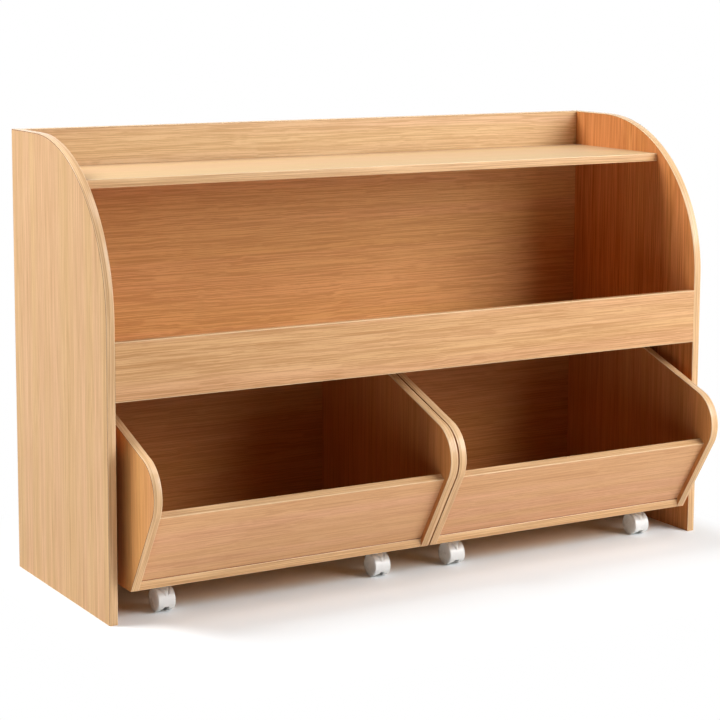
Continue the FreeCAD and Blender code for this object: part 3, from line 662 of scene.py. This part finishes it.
def mitredNormals(path, cutLevel):
    # outward offsets of a (back, up) path: at a bend, the two normals' sum over 1 + their cosine
    step = np.diff(path, axis=0)
    step /= np.linalg.norm(step, axis=1, keepdims=True)
    normal = np.stack([-step[:, 1], step[:, 0]], axis=1)
    before = np.concatenate([normal[:1], normal])
    after = np.concatenate([normal, normal[-1:]])
    bend = (before + after) / (1 + (before * after).sum(axis=1, keepdims=True))
    if cutLevel:
        bend[0] -= step[0] * (bend[0, 1] / step[0, 1])
    return bend


def arcPoints(centre, radius, start, stop, steps):
    angle = np.radians(np.linspace(start, stop, steps))
    return np.array(centre) + radius * np.stack([np.cos(angle), np.sin(angle)], axis=1)


def inRow(flat, across):
    # (back, up) points or directions as (x, y, z) at one x
    return np.stack([np.full(len(flat), across), flat[:, 0], flat[:, 1]], axis=1)


# cabinet's side bands: up the front, round the quarter arc, back along the top
sideBandSet = {"front": -123, "rear": 207, "height": 645, "arcRadius": 238, "board": 12,
               "thick": 1.0, "round": 0.72, "centres": (-494, 494), "riseSteps": 9,
               "arcSteps": 56, "topSteps": 4}


def sideBandPath(s):
    arcBack = s["front"] + s["arcRadius"]
    arcUp = s["height"] - s["arcRadius"]
    rise = np.linspace((s["front"], 0), (s["front"], arcUp), s["riseSteps"])
    arc = arcPoints((arcBack, arcUp), s["arcRadius"], 180, 90, s["arcSteps"])
    top = np.linspace((arcBack, s["height"]), (s["rear"], s["height"]), s["topSteps"])
    return np.concatenate([rise[:-1], arc, top[1:]])


def addSideBands(s):
    path = sideBandPath(s)
    outward = mitredNormals(path, False)
    surfaces = []
    for centre, kind in zip(s["centres"], ("glueLeft", "glueRight")):
        surfaces.append(sweepBand(inRow(path, centre) * mm, inRow(outward, 0), (1, 0, 0),
                                  s["board"] * mm, s["thick"] * mm, s["round"] * mm, kind))
    makePiece("cabinetSideBands", surfaces, edgeBand, "cabinet",
              ["side_edge_bands"], uvName="bandRun")


addSideBands(sideBandSet)

# straight bands, all along X: (back, up, outward, across) of the top shelf's, the rail's upper
# and lower, and the back panel's
boardBandSet = {"left": -488, "right": 488, "board": 12, "thick": 1.0, "round": 0.72, "steps": 9,
                "strips": [(-23, 584, (-1, 0), (0, 1)), (-117, 384, (0, 1), (1, 0)),
                           (-117, 303, (0, -1), (1, 0)), (198, 645, (0, 1), (1, 0))]}


def straightBand(left, right, back, up, outward, across, s):
    # back and up are the middle of the band's outer face
    path = np.linspace((left, back, up), (right, back, up), boardBandSet["steps"]) * mm
    away = np.tile([0.0, outward[0], outward[1]], (len(path), 1))
    return sweepBand(path, away, (0, across[0], across[1]), s["board"] * mm, s["thick"] * mm,
                     s["round"] * mm)


def addBoardBands(s):
    surfaces = [straightBand(s["left"], s["right"], *strip, s) for strip in s["strips"]]
    makePiece("cabinetBoardBands", surfaces, edgeBand, "cabinet",
              ["board_edge_bands"], uvName="bandRun")


addBoardBands(boardBandSet)

# bins: the bands follow the raked edge, the nose, the lip and the flat top
binSet = {"front": -207, "floor": 45, "depth": 381, "height": 247, "noseRadius": 52,
          "noseUp": 141, "rake": 31.5, "lip": 19.5, "board": 12, "thick": 1.0, "round": 0.72,
          "setback": 8, "frontLength": 118, "backDrop": 14, "noseSteps": 34, "lineSteps": 8,
          "topSteps": 6, "bead": (0.9, 0.63), "beadBack": -0.2, "beadUp": 0.1, "beadSteps": 5,
          "spans": {"left_bin": (-472, -1), "right_bin": (1, 472)}}


def binBandPath(s):
    radius, rake, lip = s["noseRadius"], math.radians(s["rake"]), math.radians(s["lip"])
    corner = radius - radius / math.cos(rake) + s["noseUp"] * math.tan(rake)
    nose = arcPoints((radius, s["noseUp"]), radius, 180 + s["rake"], 90 + s["lip"],
                     s["noseSteps"])
    rakeLine = np.linspace((corner, 0), nose[0], s["lineSteps"])
    lipTop = nose[-1, 0] + (s["height"] - nose[-1, 1]) / math.tan(lip)
    lipLine = np.linspace(nose[-1], (lipTop, s["height"]), s["lineSteps"])
    flatTop = np.linspace((lipTop, s["height"]), (s["depth"], s["height"]), s["topSteps"])
    path = np.concatenate([rakeLine[:-1], nose, lipLine[1:-1], flatTop])
    return path + [s["front"], s["floor"]], corner + s["front"]


def cornerBead(ends, back, up, s):
    # a small dark oval carried along X in the corner at the front board's foot, darkening that
    # corner
    turn = np.linspace(0, 2 * math.pi, 13)
    ring = np.stack([back + s["beadBack"] + s["bead"][0] * np.cos(turn),
                     up + s["beadUp"] + s["bead"][1] * np.sin(turn)], axis=1)
    x = np.linspace(*ends, s["beadSteps"])
    grid = np.stack([inRow(ring, across) for across in x]) * mm
    run = np.concatenate([x[:1], x, x[-1:]]) * mm
    around = np.linspace(0, 0.9, len(turn)) + bandKinds["bead"]
    return closeEnds(grid), np.stack(np.meshgrid(run, around, indexing="ij"), axis=-1)


def addBinBands(s):
    path, corner = binBandPath(s)
    outward = mitredNormals(path, True)
    rake = math.radians(s["rake"])
    footBack = corner - s["board"] * math.tan(rake) + s["setback"] / math.cos(rake)
    along = np.array([-math.sin(rake), math.cos(rake)])
    into = np.array([math.cos(rake), math.sin(rake)])
    frontTop = (np.array([footBack, s["floor"] + s["board"]]) + along * s["frontLength"]
                + into * s["board"] / 2)
    rearBack = s["front"] + s["depth"] - s["board"] / 2
    rearUp = s["floor"] + s["height"] - s["backDrop"]
    for name, (left, right) in s["spans"].items():
        surfaces = []
        centres = (left + s["board"] / 2, right - s["board"] / 2)
        for centre, kind in zip(centres, ("glueLeft", "glueRight")):
            surfaces.append(sweepBand(inRow(path, centre) * mm, inRow(outward, 0), (1, 0, 0),
                                      s["board"] * mm, s["thick"] * mm, s["round"] * mm, kind))
        ends = (left + s["board"], right - s["board"])
        surfaces.append(straightBand(*ends, *frontTop, tuple(along), tuple(into), s))
        surfaces.append(straightBand(*ends, corner, s["floor"] + s["board"] / 2, (-1, 0), (0, 1),
                                     s))
        surfaces.append(straightBand(*ends, rearBack, rearUp, (0, 1), (1, 0), s))
        surfaces.append(cornerBead(ends, footBack, s["floor"] + s["board"], s))
        makePiece(name.replace("_bin", "BinBands"), surfaces, edgeBand, name,
                  [f"{name}_edge_bands"], uvName="bandRun")


addBinBands(binSet)
print("edge bands glued on")

# boards: the CAD solids, with their loose triangles welded and their edges eased
boardSet = {"weld": 0.000001, "ease": 0.00022, "plateEase": 0.00025, "segments": 2,
            "sharpAbove": 40}
left, right, front, rear, up, down = ((-1, 0, 0), (1, 0, 0), (0, -1, 0), (0, 1, 0), (0, 0, 1),
                                      (0, 0, -1))
rake = math.radians(binSet["rake"])
leaning = (0, -math.cos(rake), -math.sin(rake))
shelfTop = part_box("top_shelf")[1][2]
# node, grain, face, seed, outward, tone, and the height above which the inner face gets the painted
# lit tone
boards = [("left_side_panel", "Z", "X", 1.3, left, "side"),
          ("right_side_panel", "Z", "X", 5.1, right, "farSide"),
          ("top_shelf", "X", "Z", 2.2, up, "shelf"),
          ("middle_shelf", "X", "Z", 8.4, down, "shelf"),
          ("front_rail", "X", "Y", 3.7, front, "rail"),
          ("back_panel", "X", "Y", 6.6, rear, "back", shelfTop)]
for number, binName in enumerate(binSet["spans"]):
    boards += [(f"{binName}_left_panel", "Z", "X", 9.2 + number * 2.3, left, "bin"),
               (f"{binName}_right_panel", "Z", "X", 12.1 + number * 3.1, right, "bin"),
               (f"{binName}_bottom_board", "X", "Z", 15.8 + number * 2.9, down, "deep"),
               (f"{binName}_back_board", "X", "Y", 17.4 + number * 1.9, rear, "deep"),
               (f"{binName}_front_board", "X", leaning, 21.5 + number * 4.3, leaning, "front")]


def easeEdges(node, width):
    weld = node.modifiers.new("weldTriangles", "WELD")
    weld.merge_threshold = boardSet["weld"]
    ease = node.modifiers.new("easedEdges", "BEVEL")
    ease.width = width
    ease.segments = boardSet["segments"]
    ease.limit_method = "ANGLE"
    ease.angle_limit = math.radians(boardSet["sharpAbove"])
    ease.use_clamp_overlap = False
    ease.loop_slide = False


def dress(name, material):
    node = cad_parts[name]
    node.data.materials.clear()
    node.data.materials.append(material)
    return node


for name, *look in boards:
    node = dress(name, boardMaterial("oak_" + name, *look))
    easeEdges(node, boardSet["ease"])
print("boards dressed")

# casters, in millimetres from the kingpin's foot on the floor; the wheel's shape is given as
# (radius, across): hub boss, ring groove, domed disc, tight shoulder, tread and, from the
# dished inner face, back to the axle
casterSet = {"radius": 16, "axleUp": 16, "trail": 12, "inner": 5.8, "halfHood": 12.7,
             "fenderIn": 16.7, "fenderOut": 18.1, "turnSteps": 72,
             "wheel": [(0, 8.0), (1.5, 8.0), (2.9, 7.97), (3.5, 7.84), (3.9, 7.66), (4.6, 7.66),
                       (5.4, 7.82), (8, 7.74), (10.5, 7.58), (12.5, 7.38), (14.0, 7.18),
                       (14.9, 6.98), (15.5, 6.74), (15.85, 6.44), (16.0, 6.0), (16.0, 3.4),
                       (16.0, 1.2), (15.8, 0.5), (15.3, 0.15), (14.6, 0.0), (12.5, 0.0),
                       (12.0, 0.5), (8, 0.5), (4.2, 0.5), (3.9, 0.0), (2.1, 0.0), (0, 0.0)]}


def revolve(profile, steps):
    # profile (along x, radius) turned round the x axis
    angle = np.linspace(0, 2 * math.pi, steps + 1)
    x = np.repeat(profile[:, :1], steps + 1, axis=1)
    return np.stack([x, profile[:, 1:] * np.cos(angle), profile[:, 1:] * np.sin(angle)], axis=-1)


def addWheel(name, node, outward, s):
    low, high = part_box(node)
    shape = np.array(s["wheel"])
    profile = np.stack([s["inner"] + shape[:, 1], shape[:, 0]], axis=1)
    centre = np.array([low[0] + high[0], low[1] + high[1], low[2] + high[2]]) / 2
    centre[0] -= outward * (s["inner"] + shape[:, 1].max() / 2) * mm
    grid = revolve(profile * mm, s["turnSteps"]) * [outward, 1, 1]
    makePiece(name, [grid + centre], whiteNylon, node, [node], sharp=28)


def smooth(value, low, high):
    t = np.clip((value - low) / (high - low), 0, 1)
    return t * t * (3 - 2 * t)


# the fender's rim: from an angle near the floor to one past the top, in degrees round the axle;
# pairs say where something starts and where it is whole. The low end is notched in the middle,
# the lip thins towards the floor, and the spine with its two creases lies over the neck's foot
fenderSet = {"low": 217, "high": 70, "steps": 60, "points": 41, "notch": 11, "notchAt": (3.6, 4.8),
             "lip": 2.6, "thin": 0.45, "thinAt": (180, 217), "spine": 2.0, "spineAt": (136, 157),
             "soft": (1.6, 0.3), "groove": 1.1, "grooveWide": 0.9, "grooveOff": 0.5,
             "grooveTop": 8.4, "grooveFoot": 2.0, "grooveAt": (94, 152)}


def fenderSurface(s, f):
    # a ring section (across, radius) with rounded rims, carried round the axle
    half, low, high = s["halfHood"], s["fenderIn"], s["fenderOut"]
    rim = (high - low) / 2
    middle = (low + high) / 2
    turn = np.radians(np.linspace(-90, 90, 7))
    right = np.stack([half - rim + rim * np.cos(turn), middle + rim * np.sin(turn)], axis=1)
    flat = np.linspace(half - rim, rim - half, f["points"])[1:-1]
    top = np.stack([flat, np.full(len(flat), high)], axis=1)
    bottom = top[::-1] * [1, low / high]  # pairs with the top, so that the ends close on a line
    ring = np.concatenate([right, top, right[::-1] * [-1, 1], bottom, right[:1]])
    across = ring[None, :, 0]
    lowEnd = f["low"] - f["notch"] * (1 - smooth(np.abs(across), *f["notchAt"]))
    share = 0.5 - 0.5 * np.cos(np.linspace(0, math.pi, f["steps"]))[:, None]
    angle = lowEnd + (f["high"] - lowEnd) * share
    ends = np.minimum(lowEnd - angle, angle - f["high"])
    lip = np.sqrt(np.clip(1 - (1 - np.clip(ends / f["lip"], 0, 1)) ** 2, 0.0, 1))
    outer = ring[None, :, 1] > middle
    thin = f["thin"] * smooth(angle, *f["thinAt"])
    radius = middle + (ring[None, :, 1] - middle) * lip - thin * lip * outer
    deep = 1 - smooth(angle, *f["spineAt"])
    climb = 1 - smooth(angle, *f["grooveAt"])
    crease = f["grooveFoot"] + (f["grooveTop"] - f["grooveFoot"]) * climb
    inside = 1 - smooth(np.abs(across), crease - f["soft"][0], crease + f["soft"][1])
    dent = np.exp(-((np.abs(across) - crease - f["grooveOff"]) / f["grooveWide"]) ** 2)
    radius = radius + (f["spine"] * inside - f["groove"] * dent) * deep * lip * outer
    radians = np.radians(angle)
    back = -s["trail"] + radius * np.cos(radians)
    height = s["axleUp"] + radius * np.sin(radians)
    return np.stack([np.broadcast_to(across, back.shape), back, height], axis=-1)


neckSet = {"radius": 7.5, "top": 42.75, "edge": 0.5, "bore": 4.6, "boreDeep": 1.2, "turnSteps": 48}


def neckSurface(s, n):
    # sleeve turned round the kingpin, as (height, radius): flared foot, straight shank, eased
    # and bored top
    foot = s["axleUp"] + s["fenderIn"]
    tall, wide = n["top"] - foot, n["radius"]
    boreFoot = tall - n["boreDeep"]
    profile = np.array([(0, 0), (0, 10.4), (1.2, 9.9), (2.0, 9.2), (3.0, 8.5), (4.4, 7.9),
                        (6.4, wide), (tall - n["edge"], wide), (tall, wide - n["edge"]),
                        (tall, n["bore"]), (boreFoot, n["bore"]), (boreFoot, 0)])
    grid = revolve(profile + [foot, 0], n["turnSteps"])
    return grid[..., [1, 2, 0]]


# the web closes the hood between the wheels: an arc inside the fender, then its front corners
webSet = {"half": 5.4, "edge": 0.35, "eased": 0.96, "into": 0.5, "arc": (203, 92), "arcSteps": 26,
          "corners": [(-3.0, 36.5), (4.0, 36.2), (6.4, 34.0), (6.2, 28.0), (3.0, 20.5),
                      (-3.0, 14.0), (-10.0, 9.4), (-16.0, 8.0), (-22.0, 8.2)]}


def webSurface(s, w):
    # outline (back, up) carried across, with eased rims
    outline = np.concatenate([arcPoints((-s["trail"], s["axleUp"]), s["fenderIn"] + w["into"],
                                        *w["arc"], w["arcSteps"]), w["corners"]])
    outline = np.concatenate([outline, outline[:1]])
    centre = outline[:-1].mean(axis=0)
    half, edge = w["half"], w["half"] - w["edge"]
    steps = [(-half, 0.0), (-half, w["eased"]), (-edge, 1.0), (edge, 1.0), (half, w["eased"]),
             (half, 0.0)]
    return np.stack([inRow(centre + (outline - centre) * size, x) for x, size in steps])


def kingpinOf(caster):
    hoodLow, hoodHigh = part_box(f"{caster}_hood")
    wheelLow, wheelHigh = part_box(f"{caster}_wheel_left")
    return np.array([(hoodLow[0] + hoodHigh[0]) / 2,
                     (wheelLow[1] + wheelHigh[1]) / 2 + casterSet["trail"] * mm, 0])


stations = ("front_left", "front_right", "rear_left", "rear_right")


def addCasters(s):
    for binName in binSet["spans"]:
        for station in stations:
            caster = f"{binName}_{station}"
            name = caster.replace("_", " ").title().replace(" ", "")
            name = name[0].lower() + name[1:]
            parts = (fenderSurface(s, fenderSet), neckSurface(s, neckSet), webSurface(s, webSet))
            makePiece(f"{name}Hood", [part * mm + kingpinOf(caster) for part in parts],
                      whiteNylon, f"{caster}_fork", [f"{caster}_hood"], sharp=32)
            addWheel(f"{name}WheelLeft", f"{caster}_wheel_left", -1, s)
            addWheel(f"{name}WheelRight", f"{caster}_wheel_right", 1, s)
            dress(f"{caster}_axle", zincPlate)


addCasters(casterSet)
print("casters built")

# fittings: turned heads with a cross cut into them; cross is the half width of its arms and
# reach their length. A cam lock's place is (back, up, the way it faces) on both sides
screwSet = {"radius": 3.0, "height": 1.6, "rim": 0.64, "shank": 1.6, "shankLength": 3.0,
            "pitch": 28, "plateFace": 43, "cross": 0.42, "reach": 1.7, "cut": 1.0}
camSet = {"radius": 6.0, "height": 0.0, "edge": 0.3, "depth": 9.0, "across": 464, "cross": 0.8,
          "reach": 3.6, "cut": 2.2,
          "spots": [(22, 578, "down"), (147, 578, "down"), (-66, 303, "down"), (147, 303, "down"),
                    (-111, 355, "rear"), (204, 100, "rear"), (204, 440, "rear")]}


# steps of the polar grid, and shares of the head's radius, the cross's half width and its reach
headSet = {"steps": 40, "rows": 16, "rimRows": 6, "rimAt": 0.97, "dome": 0.75,
           "wall": (0.7, 1.25), "armEnd": 0.8}


def crossHead(s, side, h):
    # polar grid: height = crown of a dome, less the cut inside a cross with soft walls;
    # side gives the (radius, height) points from the rim down to the closed foot
    radius, cross, reach = s["radius"], s["cross"], s["reach"]
    turn = np.linspace(0, 2 * math.pi, h["steps"] + 1)
    clear = reach + 1.5 * cross
    out = np.concatenate([np.linspace(0, clear, h["rows"]),
                          np.linspace(clear, radius * h["rimAt"], h["rimRows"])[1:]])[:, None]
    x, y = out * np.cos(turn), out * np.sin(turn)
    arm = np.minimum(np.abs(x), np.abs(y))
    inArm = 1 - smooth(arm, cross * h["wall"][0], cross * h["wall"][1])
    inCross = inArm * (1 - smooth(out, reach * h["armEnd"], reach))
    height = s["height"] * np.sqrt(1 - h["dome"] * (out / radius) ** 2) - s["cut"] * inCross
    side = np.array(side)
    wall = np.stack([side[:, :1] * np.cos(turn), side[:, :1] * np.sin(turn),
                     np.repeat(side[:, 1:], len(turn), axis=1)], axis=-1)
    return np.concatenate([np.stack([x, y, height], axis=-1), wall])


def facing(grid, way):
    # the head's own up becomes way: "down" or "rear"
    x, y, z = grid[..., 0], grid[..., 1], grid[..., 2]
    return np.stack([x, -y, -z], axis=-1) if way == "down" else np.stack([-x, z, y], axis=-1)


def addPlateScrews(s):
    side = [(s["radius"], s["rim"]), (s["radius"], 0.0), (s["shank"], 0.0),
            (s["shank"], -s["shankLength"]), (0, -s["shankLength"])]
    head = facing(crossHead(s, side, headSet), "down")
    offsets = (-s["pitch"] / 2, s["pitch"] / 2)
    for binName in binSet["spans"]:
        heads = [(head + [dx, dy, s["plateFace"]]) * mm + kingpinOf(f"{binName}_{station}")
                 for station in stations for dx in offsets for dy in offsets]
        makePiece(binName.replace("_bin", "BinPlateScrews"), heads, zincPlate, binName,
                  [f"{binName}_plate_screws"], sharp=40)


def addCamLocks(s):
    side = [(s["radius"], -s["edge"]), (s["radius"], -s["depth"]), (0, -s["depth"])]
    head = crossHead(s, side, headSet)
    locks = [(facing(head, way) + [x, back, up]) * mm
             for x in (-s["across"], s["across"]) for back, up, way in s["spots"]]
    makePiece("cabinetCamLocks", locks, castZinc, "cabinet", ["cam_locks"], sharp=40)


addPlateScrews(screwSet)
addCamLocks(camSet)
for binName in binSet["spans"]:
    easeEdges(dress(f"{binName}_caster_plates", zincPlate), boardSet["plateEase"])
    dress(f"{binName}_dowels", beechDowel)
dress("cam_bolts", zincPlate)
print("fittings dressed")

print("all pieces placed")
